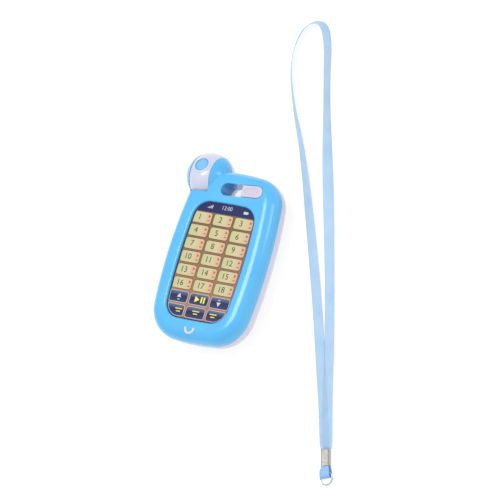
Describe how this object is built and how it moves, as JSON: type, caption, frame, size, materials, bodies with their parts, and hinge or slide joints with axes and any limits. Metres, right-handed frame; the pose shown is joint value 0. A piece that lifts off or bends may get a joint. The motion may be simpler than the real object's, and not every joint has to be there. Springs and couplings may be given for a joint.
{
  "type": "toy cell phone",
  "caption": "Toy cell phone with a two-shell case, a key film, a push button beside a lanyard hole, a turning lamp drum and a ribbon lanyard lying beside it.",
  "frame": {"origin": "middle of the case on its flat back, with the key side up", "axes": "+X to the right of the keys, +Y towards the end with the lamp drum, +Z out of the key side"},
  "size_m": [0.2224, 0.4096, 0.044],
  "materials": {
    "shell_blue": "gloss",
    "shell_lilac": "gloss",
    "white_abs": "gloss",
    "key_film": "printed polyester film, satin",
    "contact_film": "satin",
    "circuit_board": "phenolic paper laminate, satin",
    "screw_steel": "zinc plated",
    "chip_epoxy": "cast epoxy",
    "capacitor_can": "sleeved",
    "button_white": "gloss",
    "switch_body": "satin",
    "lens_blue": "translucent",
    "holder_black": "satin",
    "lamp_red": "clear epoxy",
    "cell_jacket": "plain shrink jacket",
    "spring_steel": "nickel plated",
    "speaker_steel": "pressed steel",
    "ferrite": "sintered ferrite",
    "speaker_paper": "pulp paper",
    "wire_sleeve": "soft vinyl",
    "ribbon": "woven ribbon",
    "nickel": "nickel plated"
  },
  "bodies": {
    "phone": {"front_casing": "shell_blue", "rear_casing": "shell_lilac", "case_screws": "screw_steel", "key_film": "key_film", "contact_sheet": "contact_film", "contact_spacer": "contact_film", "main_circuit_board": "circuit_board", "board_screws": "screw_steel", "sound_chip": "chip_epoxy", "capacitor": "capacitor_can", "resistors": "chip_epoxy", "tact_switch": "switch_body", "switch_board": "circuit_board", "switch_board_screws": "screw_steel", "smile_mark": "white_abs", "lamp_holder": "holder_black", "lamp_led": "lamp_red", "battery_cells": "cell_jacket", "battery_contacts": "spring_steel", "battery_springs": "spring_steel", "speaker_frame": "speaker_steel", "speaker_magnet": "ferrite", "speaker_cone": "speaker_paper", "speaker_wires": "wire_sleeve", "battery_wires": "wire_sleeve", "lamp_wires": "wire_sleeve", "switch_wires": "wire_sleeve"},
    "lens_drum": {"lens_drum": "white_abs", "drum_end_cap": "white_abs", "drum_lens": "lens_blue", "lens_ring": "white_abs"},
    "power_button": {"power_button": "button_white", "switch_plunger": "switch_body"},
    "battery_door": {"battery_door": "shell_lilac", "battery_door_screw": "screw_steel"},
    "lanyard": {"lanyard_ribbon": "ribbon", "lanyard_crimp": "nickel", "lanyard_end_loop": "ribbon"},
    "split_ring": {"split_ring": "nickel"}
  },
  "joints": [
    {"name": "drum_turn", "type": "hinge", "parent": "phone", "child": "lens_drum", "pos_m": [-0.0351, 0.07285, 0.0222], "axis": [1, 0, 0], "continuous": true},
    {"name": "button_press", "type": "slide", "parent": "phone", "child": "power_button", "axis": [0, 0, -1], "range_m": [0, 0.0006], "stiffness_N_per_m": 400, "springref_m": -0.0002},
    {"name": "battery_door_lift", "type": "slide", "parent": "phone", "child": "battery_door", "axis": [0, 0, -1], "range_m": [0, 0.02]},
    {"name": "lanyard_lift", "type": "slide", "parent": "phone", "child": "lanyard", "axis": [0, 0, 1], "range_m": [0, 0.05]},
    {"name": "ring_swing", "type": "hinge", "parent": "lanyard", "child": "split_ring", "pos_m": [0.15749, -0.16313, 0.00243], "axis": [-0.9452, -0.3266, 0], "range_deg": [0, 30]}
  ]
}
